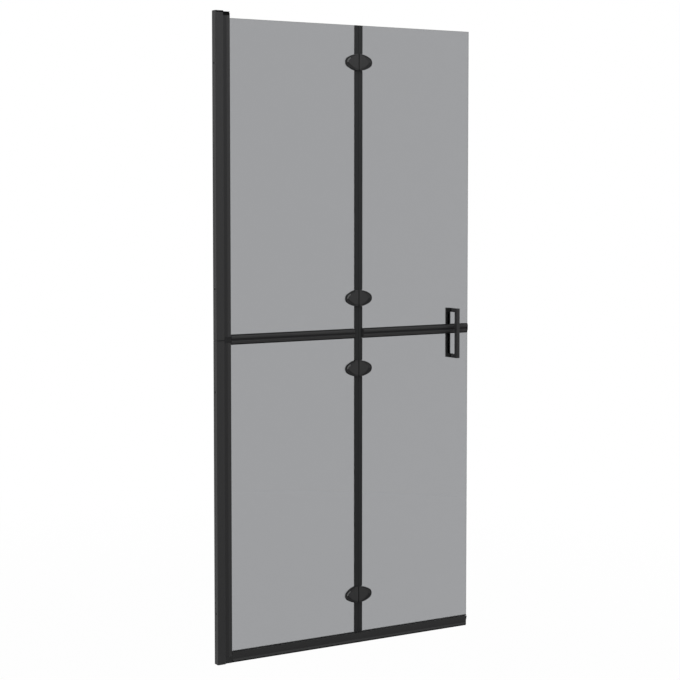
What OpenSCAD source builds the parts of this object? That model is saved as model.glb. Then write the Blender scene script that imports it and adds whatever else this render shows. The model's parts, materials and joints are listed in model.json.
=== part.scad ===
// Folding walk-in shower screen: a wall channel, two glazed leaves joined by four
// clamp hinges, a middle rail across both leaves, a floor threshold and a pull handle.
// X runs out from the wall, Y runs from the room side (front, -Y) to the shower side,
// Z runs up from the floor. The glass lies on the plane Y = 0.

/* [Screen] */
// Width from the wall to the free edge of the glass
screen_w = 900; // [800:5:1000]
// Height from the floor to the top of the wall channel
screen_h = 1900; // [1750:10:2050]
// Distance of the fold line from the wall
fold_x = 489.6; // [430:0.2:520]
// Height of the middle rail's centre line
mid_z = 952; // [880:1:1020]
// Thickness of the glass
glass_t = 5; // [4:0.5:6]
// Ground edge on the glass
glass_arris = 0.6; // [0.3:0.1:1]
// Drop from the top of the screen to the top of the glass
glass_drop = 19.5; // [15:0.5:30]

/* [Wall channel] */
// How far the channel stands out from the wall
channel_w = 25.4; // [22:0.2:32]
// Depth of the channel from front to back
channel_d = 22; // [20:0.5:26]
// Wall of the channel
channel_wall = 1.6; // [1.2:0.1:2]
// Radius on the channel's outer corners
channel_round = 1.2; // [0.4:0.1:1.4]
// Gap at the seam between the two lengths
seam_gap = 0.8; // [0.2:0.1:1]
// Thickness of the plate on the top cap
cap_t = 1; // [0.8:0.1:2]
// Shadow line under the top cap
cap_shadow = 0.8; // [0.3:0.1:1]
// Radius of the holes for the wall screws
wall_hole_r = 2.75; // [2:0.05:3.5]
// Distance of the wall screws from the ends of each length
wall_hole_end = 150; // [100:10:250]
// Drop of the seam below the middle rail's centre line
seam_drop = 1; // [0:0.5:3]

/* [Inner profile] */
// Width of the inner profile that shows beside the channel
inner_show = 22.2; // [21:0.2:28]
// Length of the profile that stays inside the channel
inner_tail = 11.6; // [10:0.2:14]
// Wall of the inner profile
inner_wall = 1.4; // [1:0.1:1.6]
// Running clearance between profile and channel
slide_gap = 0.3; // [0.2:0.05:0.5]
// Travel of the width adjustment
adjust = 9; // [5:0.5:9]
// Drop from the top of the screen to the top of the profile
inner_drop = 13; // [12:0.5:18]
// Depth of glass held in the profile
glass_bite = 11; // [10:0.2:12]
// Height of the dark joint between its two lengths
joint_h = 17.5; // [15:0.5:24]
// Drop from the top of the threshold to the bottom of the profile
inner_foot = 10.5; // [8:0.5:14]
// Thickness of gasket behind the edge of the glass
gasket_base = 2; // [1:0.2:3]
// Radius of the lock screws
lock_r = 1.9; // [1.5:0.05:2.2]
// Distance of the lock screws from the mouth of the channel
lock_in = 6; // [5:0.2:8]
// Distance of the lock screws from the ends of each length
lock_end = 250; // [180:10:320]

/* [Middle rail] */
// Height of the middle rail
mid_h = 29; // [26:0.5:36]
// Depth of the middle rail over its beads
mid_d = 20; // [18:0.5:21]
// How far each bead bulges
bead_rise = 2; // [1:0.1:2.5]
// Groove between the two beads
bead_groove = 5; // [3:0.2:6]
// Half width of the slot that takes glass and gasket
mid_slot = 6.2; // [5.4:0.1:6.6]
// Thickness of the web between the two panes
mid_web = 6.8; // [5.6:0.2:8]
// Radius of the screw port in the web
port_r = 1.8; // [1.4:0.05:2.2]
// Length of the screw that holds the rail to its bracket
bracket_screw_l = 37; // [30:1:60]
// Set-back of the rail ends from the free edge of the glass
end_back = 4; // [2:0.5:8]
// Thickness of the end caps and collars
end_t = 2; // [1.5:0.1:3]

/* [Floor threshold] */
// Height of the threshold
sill_h = 31.5; // [28:0.5:40]
// Width of the threshold at the top
sill_top = 22; // [20:0.5:26]
// Width of the threshold at the bottom
sill_foot = 13.6; // [12:0.2:18]
// Wall of the threshold extrusion
sill_wall = 1.6; // [1.2:0.1:2]
// Height up to which the threshold's faces are upright
sill_knee = 15; // [8:0.5:18]
// Height of the rubber foot
foot_h = 3; // [2:0.25:4]
// Running gap between the leaves and the threshold
sill_gap = 0.4; // [0.3:0.05:1]
// Height of the lip under the glass
lip_h = 2.2; // [2:0.1:6]

/* [Fold seal] */
// Width of the dark strip over the fold
strip_w = 25; // [22:0.2:34]
// Thickness of rubber on each face of the glass
strip_skin = 1.2; // [1:0.1:1.4]
// Gap between the two noses on the fold line
nose_gap = 0.4; // [0.3:0.1:1]
// Distance from the fold line to each glass edge
glass_back = 5.5; // [4.5:0.1:7]

/* [Hinges] */
// Length of the front clamp plates, both halves together
oval_w = 95; // [88:1:100]
// Length of the back clamp plates, both halves together
back_w = 74; // [72:1:84]
// Height of the oval clamp plates
oval_h = 50; // [46:1:56]
// Radius at the oval's ends
oval_end_r = 16; // [12:0.5:18]
// How far the front plates stand out from the glass
plate_out = 5; // [4.8:0.1:8]
// Gap between the two front plates
plate_gap = 2.4; // [1:0.1:3]
// Thickness of the rubber pads against the glass
pad_t = 1; // [0.8:0.1:1.5]
// Distance of the hinge pin behind the middle of the glass
pin_back = 11.5; // [11:0.1:13]
// Radius of the hinge pin
pin_r = 2.5; // [2:0.05:2.8]
// Radius of the hinge knuckles
knuckle_r = 5; // [4.5:0.1:5.5]
// Length of the middle knuckle
knuckle_mid = 15.6; // [12:0.2:20]
// Height of the knuckle stack
knuckle_all = 44; // [38:1:46]
// Distance of the clamp screws from the fold line
clamp_x = 26; // [24:0.5:28]
// Distance of the clamp screws above and below the middle
clamp_z = 10; // [8:0.5:12]
// Radius of the clamp screws
clamp_r = 2; // [1.75:0.05:2.5]
// Step from the domed middle of a front plate down to its rim
rim_step = 1.5; // [0.5:0.1:1.6]
// Width of the rim round the dome
rim_w = 5.2; // [4:0.2:7]
// Radius of the dome
dome_r = 600; // [400:10:900]
// Bevel on the edges of the plates
bevel = 1.5; // [0.5:0.1:2]
// Top hinge, below the top of the glass
hinge_drop = 110.5; // [80:0.5:160]
// Middle hinges, above and below the middle rail
hinge_mid = 107; // [80:1:160]
// Bottom hinge, above the threshold
hinge_rise = 117.5; // [80:0.5:160]

/* [Handle] */
// Height of the handle
handle_h = 155.6; // [140:0.2:200]
// Side of the square bar
handle_bar = 11; // [9:0.5:14]
// How far each half stands off the middle of the glass
handle_out = 32; // [28:0.5:45]
// Distance of the bar's centre from the free edge
handle_in = 57.5; // [40:0.5:90]
// Height of the handle's middle above the floor
handle_z = 938.2; // [920:0.2:960]
// Edge chamfer on the bar
handle_bevel = 0.5; // [0.3:0.1:1.2]
// Radius of the studs that join the two halves
stud_r = 2.5; // [2:0.1:3]

/* [Hidden] */
$fn = 64;
HINGES = ["bottom", "lower", "upper", "top"];

// Colours
black_paint = "#2f3032";
black_trim = "#1f2021";
black_rubber = "#26282a";
smoked_glass = [0.36, 0.37, 0.38, 0.55];
steel = "#8b8d8f";

// Small clearances
cut = 1;          // how far a cutter runs past what it cuts
screw_slack = 0.1; // radial clearance of a screw in its hole
pin_slack = 0.05; // radial running clearance of the hinge pin
relief = 0.4;     // radial clearance round another leaf's knuckle
knuckle_gap = 0.2; // gap between neighbouring knuckles
fit = 0.3;        // clearance of a plug in its socket
lap = 0.1;        // how far joined pieces of one solid run into each other
hole_room = 3;    // radial room round a screw in the glass
bush_slack = 0.2; // clearance of a bush in the glass
port_wall = 1.4;  // wall round a screw port

// Heights
channel_top = screen_h - cap_t - cap_shadow;
inner_top = screen_h - inner_drop;
glass_top = screen_h - glass_drop;
seam_z = mid_z - seam_drop;
joint_z0 = mid_z - joint_h / 2;
joint_z1 = mid_z + joint_h / 2;
lip_bottom = sill_h + sill_gap;
glass_bottom = lip_bottom + lip_h;
inner_bottom = sill_h - inner_foot;
block_top = inner_bottom - slide_gap;
hinge_heights = [sill_h + hinge_rise, mid_z - hinge_mid, mid_z + hinge_mid, glass_top - hinge_drop];

// Widths
half_glass = glass_t / 2;
inner_right = channel_w + inner_show;
inner_left = channel_w - inner_tail;
inner_half = channel_d / 2 - channel_wall - slide_gap;
inner_bore = inner_half - inner_wall;
glass_left = inner_right - glass_bite;
gasket_left = glass_left - gasket_base;
lock_x = channel_w - lock_in;
rail_end = screen_w - end_back;
mid_left = inner_right + end_t;
strip_left = fold_x - strip_w / 2;
strip_right = fold_x + strip_w / 2;
fixed_glass_x1 = fold_x - glass_back;
folding_glass_x0 = fold_x + glass_back;
seal_half = half_glass + strip_skin;
handle_x = screen_w - handle_in;
post_z = [handle_z - (handle_h - handle_bar) / 2, handle_z + (handle_h - handle_bar) / 2];
lock_z = [lock_end, seam_z - lock_end, seam_z + lock_end, screen_h - lock_end];
wall_hole_z = [[wall_hole_end, seam_z - wall_hole_end], [seam_z + wall_hole_end, screen_h - wall_hole_end]];

// Sizes of holes through the glass
glass_hole_r = clamp_r + hole_room;
bush_r = glass_hole_r - bush_slack;

// Extrude a section drawn in X and Y up from z0 to z1
module along_z(z0, z1) translate([0, 0, z0]) linear_extrude(z1 - z0) children();

// Extrude a section drawn in Y and Z from x0 to x1
module along_x(x0, x1) translate([x0, 0, 0]) rotate([90, 0, 90]) linear_extrude(x1 - x0) children();

// Extrude an outline drawn in X and Z from y0 back to y1
module along_y(y0, y1) translate([0, y1, 0]) rotate([90, 0, 0]) linear_extrude(y1 - y0) children();

// A rod along Y from y0 to y1
module rod_y(x, z, y0, y1, r) translate([x, y1, z]) rotate([90, 0, 0]) cylinder(r = r, h = y1 - y0);

// A rod along X from x0 to x1
module rod_x(x0, x1, y, z, r) translate([x0, y, z]) rotate([0, 90, 0]) cylinder(r = r, h = x1 - x0);

// A rectangle between two corners
module rect(a, b) translate(a) square(b - a);

// A block between two corners
module block(a, b) translate(a) cube(b - a);

// A rectangle with its four corners rounded
module round_rect(a, b, r) {
    rect(a + [r, 0], b - [r, 0]);
    rect(a + [0, r], b - [0, r]);
    for (x = [a.x + r, b.x - r], y = [a.y + r, b.y - r]) translate([x, y]) circle(r);
}

// A rectangle with its four corners cut off
module cut_rect(a, b, c)
    polygon([[a.x + c, a.y], [b.x - c, a.y], [b.x, a.y + c], [b.x, b.y - c],
             [b.x - c, b.y], [a.x + c, b.y], [a.x, b.y - c], [a.x, a.y + c]]);

// A block with every edge chamfered
module soft_block(a, b, c) intersection() {
    along_z(a.z, b.z) cut_rect([a.x, a.y], [b.x, b.y], c);
    along_x(a.x, b.x) cut_rect([a.y, a.z], [b.y, b.z], c);
    along_y(a.y, b.y) cut_rect([a.x, a.z], [b.x, b.z], c);
}

// Wall channel, a U section open away from the wall
module channel_section() difference() {
    round_rect([0, -channel_d / 2], [channel_w, channel_d / 2], channel_round);
    rect([channel_wall, channel_wall - channel_d / 2], [channel_w + cut, channel_d / 2 - channel_wall]);
}

module channel_length(z0, z1, holes) difference() {
    along_z(z0, z1) channel_section();
    for (z = holes) rod_x(-cut, channel_wall + cut, 0, z, wall_hole_r);
    for (z = lock_z) if (z > z0 && z < z1)
        rod_y(lock_x, z, channel_d / 2 - channel_wall - cut, channel_d / 2 + cut, lock_r + screw_slack);
}

module wall_channel_lower() color(black_paint)
    channel_length(0, seam_z - seam_gap / 2, wall_hole_z[0]);

module wall_channel_upper() color(black_paint)
    channel_length(seam_z + seam_gap / 2, channel_top, wall_hole_z[1]);

// Cap on the channel: a plate, a narrower neck that leaves a shadow line, and a plug by the wall
module channel_top_cap() color(black_trim) {
    neck = 0.8;
    half = channel_d / 2;
    plug_z = inner_top + 1;
    along_z(screen_h - cap_t, screen_h) round_rect([0, -half], [channel_w, half], channel_round);
    block([neck, neck - half, channel_top], [channel_w - neck, half - neck, screen_h - cap_t]);
    block([channel_wall, -inner_half, plug_z], [inner_left - adjust - fit, inner_half, channel_top + lap]);
}

// Screws through the back of the channel that lock the width
module lock_screws() color(steel) {
    head_h = 2.2;
    drive = 1.4;
    tip = inner_bore - 2;
    for (z = lock_z) difference() {
        union() {
            rod_y(lock_x, z, tip, channel_d / 2, lock_r);
            translate([lock_x, channel_d / 2 + head_h, z]) rotate([90, 0, 0])
                cylinder(r1 = lock_r + 1, r2 = 2 * lock_r, h = head_h);
        }
        rod_y(lock_x, z, channel_d / 2 + head_h - drive, channel_d / 2 + head_h + cut, lock_r * 0.7, $fn = 6);
    }
}

// Threshold: hollow, upright at the foot and leaning out above the knee, with two screw ports
function sill_half(z) =
    sill_foot / 2 + (sill_top - sill_foot) / 2 * max(0, z - sill_knee) / (sill_h - sill_knee);

module sill_outline() {
    chamfer = 0.6;
    shoulder = sill_h - chamfer;
    polygon([[-sill_foot / 2, foot_h], [sill_foot / 2, foot_h], [sill_foot / 2, sill_knee],
             [sill_half(shoulder), shoulder], [sill_top / 2 - chamfer, sill_h],
             [chamfer - sill_top / 2, sill_h], [-sill_half(shoulder), shoulder], [-sill_foot / 2, sill_knee]]);
}

module sill_cavity() {
    z0 = foot_h + sill_wall;
    z1 = sill_h - sill_wall;
    half = sill_foot / 2 - sill_wall;
    polygon([[-half, z0], [half, z0], [half, sill_knee], [sill_half(z1) - sill_wall, z1],
             [sill_wall - sill_half(z1), z1], [-half, sill_knee]]);
}

sill_port_r = port_r + port_wall;
sill_port_z = [foot_h + sill_wall + sill_port_r, sill_h - sill_wall - sill_port_r];

module sill_section() difference() {
    web = 1.2;
    union() {
        difference() {
            sill_outline();
            sill_cavity();
        }
        for (i = [0, 1], z = [sill_port_z[i]]) {
            translate([0, z]) circle(sill_port_r);
            rect([-web, i == 0 ? foot_h + lap : z], [web, i == 0 ? z : sill_h - lap]);
        }
    }
    for (z = sill_port_z) translate([0, z]) circle(port_r);
}

sill_x0 = inner_right + fit + end_t;
sill_x1 = rail_end - end_t;
foot_inset = 0.8;
tenon_l = 18;

module threshold_rail() color(black_paint) along_x(sill_x0, sill_x1) sill_section();

// Ribbed rubber foot under the threshold
module threshold_foot() color(black_rubber) along_x(sill_x0, sill_x1) {
    half = sill_foot / 2 - foot_inset;
    rib = 2;
    rect([-half, foot_h / 2], [half, foot_h]);
    for (y = [rib - half, 0, half - rib]) rect([y - rib / 2, 0], [y + rib / 2, foot_h / 2 + lap]);
}

// A tenon between the screw ports, held in the hollow of the threshold
module sill_tenon(x0, x1) {
    z0 = sill_port_z[0] + sill_port_r + fit;
    z1 = sill_port_z[1] - sill_port_r - fit;
    half = sill_half(z0) - sill_wall - fit;
    block([x0, -half, z0], [x1, half, z1]);
}

// The threshold's outline closed down to the floor
module sill_solid() {
    sill_outline();
    rect([foot_inset - sill_foot / 2, 0], [sill_foot / 2 - foot_inset, foot_h + lap]);
}

// Block that fills the corner under the inner profile and closes the threshold
module threshold_corner_block() color(black_trim) {
    along_x(channel_w + fit, sill_x0) intersection() {
        sill_solid();
        rect([-inner_half, 0], [inner_half, block_top]);
    }
    along_x(sill_x0 - end_t, sill_x0) sill_solid();
    sill_tenon(sill_x0 - lap, sill_x0 + tenon_l);
}

module threshold_end_cap() color(black_trim) {
    along_x(sill_x1, rail_end) sill_solid();
    sill_tenon(sill_x1 - tenon_l, sill_x1 + lap);
}

// Inner profile: two side walls with a stop between them for the gasket, a lip at the mouth and a toe inside
module inner_section() {
    lip = [0.8, 0.5];
    toe = [1, 1];
    for (m = [0, 1]) mirror([0, m]) {
        rect([inner_left, inner_bore], [inner_right, inner_half]);
        rect([inner_right - lip.x, inner_bore - lip.y], [inner_right, inner_half]);
        rect([inner_left, inner_bore - toe.y], [inner_left + toe.x, inner_half]);
    }
    rect([gasket_left - inner_wall, -inner_half], [gasket_left, inner_half]);
}

// A slot in the back wall lets the profile slide past each lock screw
module lock_slot(z) {
    r = lock_r + fit;
    y0 = inner_bore - cut;
    y1 = inner_half + cut;
    rod_y(lock_x, z, y0, y1, r);
    rod_y(lock_x + adjust, z, y0, y1, r);
    block([lock_x, y0, z - r], [lock_x + adjust, y1, z + r]);
}

module inner_length(z0, z1) difference() {
    along_z(z0, z1) inner_section();
    for (z = lock_z) if (z > z0 && z < z1) lock_slot(z);
}

module inner_profile_lower() color(black_paint) inner_length(inner_bottom, joint_z0);

module inner_profile_upper() color(black_paint) inner_length(joint_z1, inner_top);

// Cap on the inner profile, low enough to slide under the channel's cap, with a tongue over the glass
module inner_profile_cap() color(black_trim) {
    top = channel_top - slide_gap;
    plate = 2;
    neck = 1.2;
    soft = 0.4;
    tongue_half = inner_bore - 1;
    soft_block([inner_left, -inner_half, top - plate], [inner_right, inner_half, top], soft);
    block([inner_left + neck, neck - inner_half, inner_top],
          [inner_right - neck, inner_half - neck, top - plate + soft]);
    block([inner_left, -inner_half, inner_top], [inner_right, inner_half, top - 2 * plate]);
    block([gasket_left + fit, -tongue_half, glass_top + fit], [inner_right - 1, tongue_half, inner_top + lap]);
}

bracket_head = glass_left + 1;
head_r = port_r + 1.2;
head_h = 2.5;

// Bracket between the two lengths of inner profile, with a collar for the middle rail
module mid_bracket() color(black_trim) {
    recess = 0.4;
    plug = 20;
    ease = 1.3;
    glass_ease = 0.2;
    slot_half = half_glass + glass_ease;
    slot_z = pane_gap - glass_ease;
    body_half = inner_half - recess;
    plug_half = inner_bore - ease;
    difference() {
        union() {
            block([inner_left, -body_half, joint_z0], [inner_right + lap, body_half, joint_z1]);
            block([inner_left + ease, -plug_half, joint_z0 - plug],
                  [gasket_left - inner_wall - fit, plug_half, joint_z1 + plug]);
        }
        for (z = [[joint_z0 - cut, mid_z - slot_z], [mid_z + slot_z, joint_z1 + cut]])
            block([glass_left - fit, -slot_half, z[0]], [inner_right + cut, slot_half, z[1]]);
        rod_x(inner_left - cut, inner_right + cut, 0, mid_z, port_r + bush_slack);
        rod_x(inner_left - cut, bracket_head, 0, mid_z, head_r + bush_slack);
    }
    along_x(inner_right, mid_left) mid_section();
}

module mid_bracket_screw() color(steel) {
    drive = 1.3;
    difference() {
        union() {
            rod_x(bracket_head, bracket_head + bracket_screw_l, 0, mid_z, port_r - pin_slack);
            rod_x(bracket_head - head_h, bracket_head, 0, mid_z, head_r);
        }
        rod_x(bracket_head - head_h - cut, bracket_head - head_h + drive, 0, mid_z, port_r * 0.75, $fn = 6);
    }
}

// Gasket that wedges a pane's edge in the inner profile: a U with holding ribs
module glazing_section() {
    skin = 2;
    rib = 1.4;
    mouth = inner_right - 0.4;
    for (m = [0, 1]) mirror([0, m]) {
        rect([gasket_left, half_glass], [mouth, half_glass + skin]);
        for (k = [1, 2, 3]) let (x = gasket_left + k * (mouth - gasket_left - rib) / 3)
            rect([x, half_glass], [x + rib, min(inner_bore - (k == 3 ? 0.5 : 0), inner_bore)]);
    }
    rect([gasket_left, -inner_bore], [glass_left, inner_bore]);
}

module glazing_gasket_lower() color(black_rubber) along_z(inner_bottom + fit, joint_z0) glazing_section();

module glazing_gasket_upper() color(black_rubber) along_z(joint_z1, glass_top) glazing_section();

// A pane between two corners, with ground edges and its holes
module pane(a, b, holes) difference() {
    intersection() {
        along_z(a.y, b.y) cut_rect([a.x, -half_glass], [b.x, half_glass], glass_arris);
        along_x(a.x, b.x) cut_rect([-half_glass, a.y], [half_glass, b.y], glass_arris);
    }
    for (h = holes) rod_y(h.x, h.y, -half_glass - cut, half_glass + cut, glass_hole_r);
}

pane_gap = mid_web / 2 + 1;

function clamp_holes(side, rows) =
    [for (i = rows, k = [-1, 1]) [fold_x + side * clamp_x, hinge_heights[i] + k * clamp_z]];

module fixed_glass_lower() color(smoked_glass)
    pane([glass_left, glass_bottom], [fixed_glass_x1, mid_z - pane_gap], clamp_holes(-1, [0, 1]));

module fixed_glass_upper() color(smoked_glass)
    pane([glass_left, mid_z + pane_gap], [fixed_glass_x1, glass_top], clamp_holes(-1, [2, 3]));

module folding_glass_lower() color(smoked_glass)
    pane([folding_glass_x0, glass_bottom], [screen_w, mid_z - pane_gap],
         concat(clamp_holes(1, [0, 1]), [[handle_x, post_z[0]]]));

module folding_glass_upper() color(smoked_glass)
    pane([folding_glass_x0, mid_z + pane_gap], [screen_w, glass_top],
         concat(clamp_holes(1, [2, 3]), [[handle_x, post_z[1]]]));

groove_in = 1.2; // depth of the groove behind the ends of the beads

// Middle rail: two round beads on each face, a groove between them, a slot above and below for the panes
module mid_section() {
    chord = (mid_h - bead_groove) / 2;
    r = (chord * chord / 4 + bead_rise * bead_rise) / (2 * bead_rise);
    centre = (chord + bead_groove) / 2;
    translate([0, mid_z]) difference() {
        union() {
            for (s = [-1, 1], k = [-1, 1]) intersection() {
                translate([s * (mid_d / 2 - r), k * centre]) circle(r, $fn = 96);
                translate([s * (mid_slot + mid_d / 2 + cut) / 2, k * centre])
                    square([mid_d / 2 + cut - mid_slot, chord], center = true);
            }
            square([2 * (mid_slot + lap), mid_web], center = true);
            square([mid_d - 2 * (bead_rise + groove_in), bead_groove + 2 * lap], center = true);
        }
        circle(port_r);
    }
}

// Slants the end of a rail at x back from the fold strip, on both faces; side points along the rail
module mitre(x, side) {
    past = mid_d / 2 + cut;
    for (s = [-1, 1]) along_z(mid_z - mid_h, mid_z + mid_h)
        polygon([[x - side * cut, s * (mid_slot - cut)], [x - side * cut, s * past],
                 [x + side * (past - mid_slot), s * past]]);
}

module fixed_mid_rail() color(black_paint) difference() {
    along_x(mid_left, strip_left - fit) mid_section();
    mitre(strip_left - fit, -1);
}

module folding_mid_rail() color(black_paint) difference() {
    along_x(strip_right + fit, rail_end - end_t) mid_section();
    mitre(strip_right + fit, 1);
}

module mid_rail_end_cap() color(black_trim) {
    peg = 15;
    along_x(rail_end - end_t, rail_end) mid_section();
    along_x(rail_end - end_t / 2, rail_end) translate([0, mid_z]) circle(port_r + lap);
    rod_x(rail_end - end_t - peg, rail_end - lap, 0, mid_z, port_r - pin_slack);
}

// Gasket that beds a pane in the middle rail, above the web or, turned over, below it
module mid_gasket_section(k) translate([0, mid_z]) mirror([0, k < 0 ? 1 : 0]) {
    base = mid_web / 2;
    reach = mid_h / 2 - 0.8;
    skin = 1.6;
    rib = 1.2;
    rect([-mid_slot, base], [mid_slot, pane_gap]);
    for (m = [0, 1]) mirror([m, 0]) {
        rect([half_glass, base], [half_glass + skin, reach]);
        for (i = [1, 2, 3]) let (z = base + i * (reach - base - rib) / 3) rect([half_glass, z], [mid_slot, z + rib]);
    }
}

module fixed_mid_gaskets() color(black_rubber)
    for (k = [-1, 1]) along_x(inner_right + lap, strip_left - fit) mid_gasket_section(k);

module folding_mid_gaskets() color(black_rubber)
    for (k = [-1, 1]) along_x(strip_right + fit, rail_end) mid_gasket_section(k);

// Seal on a leaf's edge at the fold: a sleeve over the glass with tapering lips and a hollow nose
module fold_seal_section(side) {
    lip = 3;
    thin = half_glass + 0.6;
    soft = 0.7;
    reach = strip_w / 2;
    nose = nose_gap / 2;
    translate([fold_x, 0]) mirror([side < 0 ? 1 : 0, 0]) difference() {
        polygon([[nose, soft - seal_half], [nose + soft, -seal_half], [reach - lip, -seal_half], [reach, -thin],
                 [reach, thin], [reach - lip, seal_half], [nose + soft, seal_half], [nose, seal_half - soft]]);
        rect([glass_back, -half_glass], [reach + cut, half_glass]);
        translate([(nose + glass_back) / 2, 0]) circle(glass_back * 0.3);
    }
}

module fixed_fold_seal() color(black_rubber) along_z(lip_bottom, glass_top) fold_seal_section(-1);

module folding_fold_seal() color(black_rubber) along_z(lip_bottom, glass_top) fold_seal_section(1);

// Rubber lip on a pane's bottom edge: a sleeve and two fins that hang down to the threshold
module bottom_lip_section() {
    skin = 0.9;
    grip = 2;
    base = 1;
    splay = 0.6;
    outer = half_glass + skin;
    floor_z = glass_bottom - base;
    half = [[0, floor_z], [outer - skin, floor_z], [outer + splay - skin, lip_bottom], [outer + splay, lip_bottom],
            [outer, floor_z], [outer, glass_bottom + grip], [half_glass, glass_bottom + grip],
            [half_glass, glass_bottom], [0, glass_bottom]];
    polygon(concat(half, [for (i = [len(half) - 1 : -1 : 0]) if (half[i].x > 0) [-half[i].x, half[i].y]]));
}

module fixed_bottom_lip() color(black_rubber) along_x(inner_right + fit, strip_left - fit) bottom_lip_section();

module folding_bottom_lip() color(black_rubber) along_x(strip_right + fit, screen_w) bottom_lip_section();

// Oval of four arcs of length w, drawn in X and Z round the fold line and drawn in by inset
module oval(inset, w) {
    a = w / 2 - oval_end_r;
    b = oval_h / 2;
    big = (a * a + b * b - oval_end_r * oval_end_r) / (2 * (b - oval_end_r));
    tangent = a + oval_end_r * a / (big - oval_end_r);
    intersection_for (s = [-1, 1]) union() {
        intersection() {
            translate([0, s * (b - big)]) circle(big - inset, $fn = 120);
            square([2 * tangent, 2 * oval_h], center = true);
        }
        for (e = [-1, 1]) translate([e * a, 0]) circle(oval_end_r - inset, $fn = 48);
    }
}

// The part of an oval on one side of the fold line, from gap / 2 outwards
module half_oval(side, inset, gap, w = oval_w) intersection() {
    oval(inset, w);
    translate([side * (gap / 2 + w / 2), 0]) square([w, 2 * oval_h], center = true);
}

// Half of a clamp plate from its bed out to its face, with a bevelled edge; face is -1 at the front
module bevelled_half(side, face, bed, top, w) hull() {
    along_y(min(face * bed, face * (top - bevel)), max(face * bed, face * (top - bevel)))
        half_oval(side, 0, plate_gap, w);
    along_y(min(face * bed, face * top), max(face * bed, face * top)) half_oval(side, bevel, plate_gap, w);
}

plate_face = half_glass + plate_out;
plate_bed = half_glass + pad_t;
back_face = pin_back - 1;
seal_room = strip_w / 2 + fit;
plate_rim = plate_face - rim_step;
clamp_tip = plate_rim - 0.5;

// Room for the fold seal under a clamp plate on the side of the glass given by face
module seal_recess(face) {
    y = seal_half + fit;
    block([-seal_room, min(0, face * y), -oval_h], [seal_room, max(0, face * y), oval_h]);
}

// Shallow dome in front of the glass, turned round the hinge's centre, with its top at plate_face
module dome() {
    reach = oval_w / 2;
    steps = 8;
    arc = [for (i = [0 : steps]) let (r = reach * i / steps)
           [r, plate_face - dome_r + sqrt(dome_r * dome_r - r * r)]];
    rotate([90, 0, 0]) rotate_extrude($fn = 144) polygon(concat([[0, plate_bed]], arc, [[reach, plate_bed]]));
}

// Front clamp plate: a bevelled rim, a groove, and a shallow dome, with blind screw holes behind
module hinge_cover(i, side) color(black_paint) translate([fold_x, 0, hinge_heights[i]]) difference() {
    groove = 1;
    union() {
        difference() {
            bevelled_half(side, -1, plate_bed, plate_rim, oval_w);
            along_y(-plate_rim - cut, groove - plate_rim) half_oval(side, rim_w - groove, plate_gap - cut);
        }
        intersection() {
            along_y(-plate_face, -plate_bed) half_oval(side, rim_w, plate_gap);
            dome();
        }
    }
    seal_recess(-1);
    for (k = [-1, 1]) rod_y(side * clamp_x, k * clamp_z, -clamp_tip - fit, 0, clamp_r + screw_slack);
}

// Back clamp plate with its share of the knuckles
module hinge_leaf(i, side) color(black_paint) translate([fold_x, 0, hinge_heights[i]]) {
    inner = knuckle_mid / 2;
    outer = knuckle_all / 2;
    past = oval_h / 2 + cut;
    own = side < 0 ? [[-outer, -inner - knuckle_gap], [inner + knuckle_gap, outer]] : [[-inner, inner]];
    clear = side < 0 ? [[-past, -outer], [-inner - knuckle_gap, inner + knuckle_gap], [outer, past]]
                     : [[-past, -inner], [inner, past]];
    difference() {
        union() {
            difference() {
                bevelled_half(side, 1, plate_bed, back_face, back_w);
                for (z = clear) translate([0, pin_back, z[0]]) cylinder(r = knuckle_r + relief, h = z[1] - z[0]);
            }
            for (z = own) translate([0, pin_back, z[0]]) cylinder(r = knuckle_r, h = z[1] - z[0]);
        }
        seal_recess(1);
        translate([0, pin_back, -oval_h]) cylinder(r = pin_r + pin_slack, h = 2 * oval_h);
        for (k = [-1, 1]) {
            rod_y(side * clamp_x, k * clamp_z, 0, back_face + cut, clamp_r + screw_slack);
            translate([side * clamp_x, back_face + 0.01, k * clamp_z]) rotate([90, 0, 0])
                cylinder(r1 = 2 * (clamp_r + screw_slack), r2 = clamp_r + screw_slack, h = clamp_r + screw_slack);
        }
    }
}

module hinge_pin(i) color(steel) translate([fold_x, pin_back, hinge_heights[i] - knuckle_all / 2]) {
    head = 1.5;
    cylinder(r = pin_r, h = knuckle_all + head / 2);
    translate([0, 0, knuckle_all]) cylinder(r = pin_r + 1, h = head);
}

// Pads either side of the glass, the front one with a bush through each hole
module hinge_pads(side) color(black_rubber)
    for (z = hinge_heights) translate([fold_x, 0, z]) for (f = [-1, 1]) difference() {
        union() {
            along_y(f < 0 ? -plate_bed : half_glass, f < 0 ? -half_glass : plate_bed)
                half_oval(side, bevel, 2 * seal_room, f < 0 ? oval_w : back_w);
            if (f < 0) for (k = [-1, 1])
                rod_y(side * clamp_x, k * clamp_z, -plate_bed, half_glass - bush_slack, bush_r);
        }
        for (k = [-1, 1])
            rod_y(side * clamp_x, k * clamp_z, -plate_bed - cut, plate_bed + cut, clamp_r + screw_slack);
    }

module fixed_hinge_pads() hinge_pads(-1);

module folding_hinge_pads() hinge_pads(1);

// Countersunk screws that clamp the plates from behind
module hinge_screws(side) color(steel)
    for (z = hinge_heights, k = [-1, 1]) translate([fold_x + side * clamp_x, 0, z + k * clamp_z]) difference() {
        drive = 1.5;
        union() {
            rod_y(0, 0, -clamp_tip, back_face - clamp_r + lap, clamp_r);
            translate([0, back_face, 0]) rotate([90, 0, 0]) cylinder(r1 = 2 * clamp_r, r2 = clamp_r, h = clamp_r);
        }
        rod_y(0, 0, back_face - drive, back_face + cut, clamp_r * 0.75, $fn = 6);
    }

module fixed_hinge_screws() hinge_screws(-1);

module folding_hinge_screws() hinge_screws(1);

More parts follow.
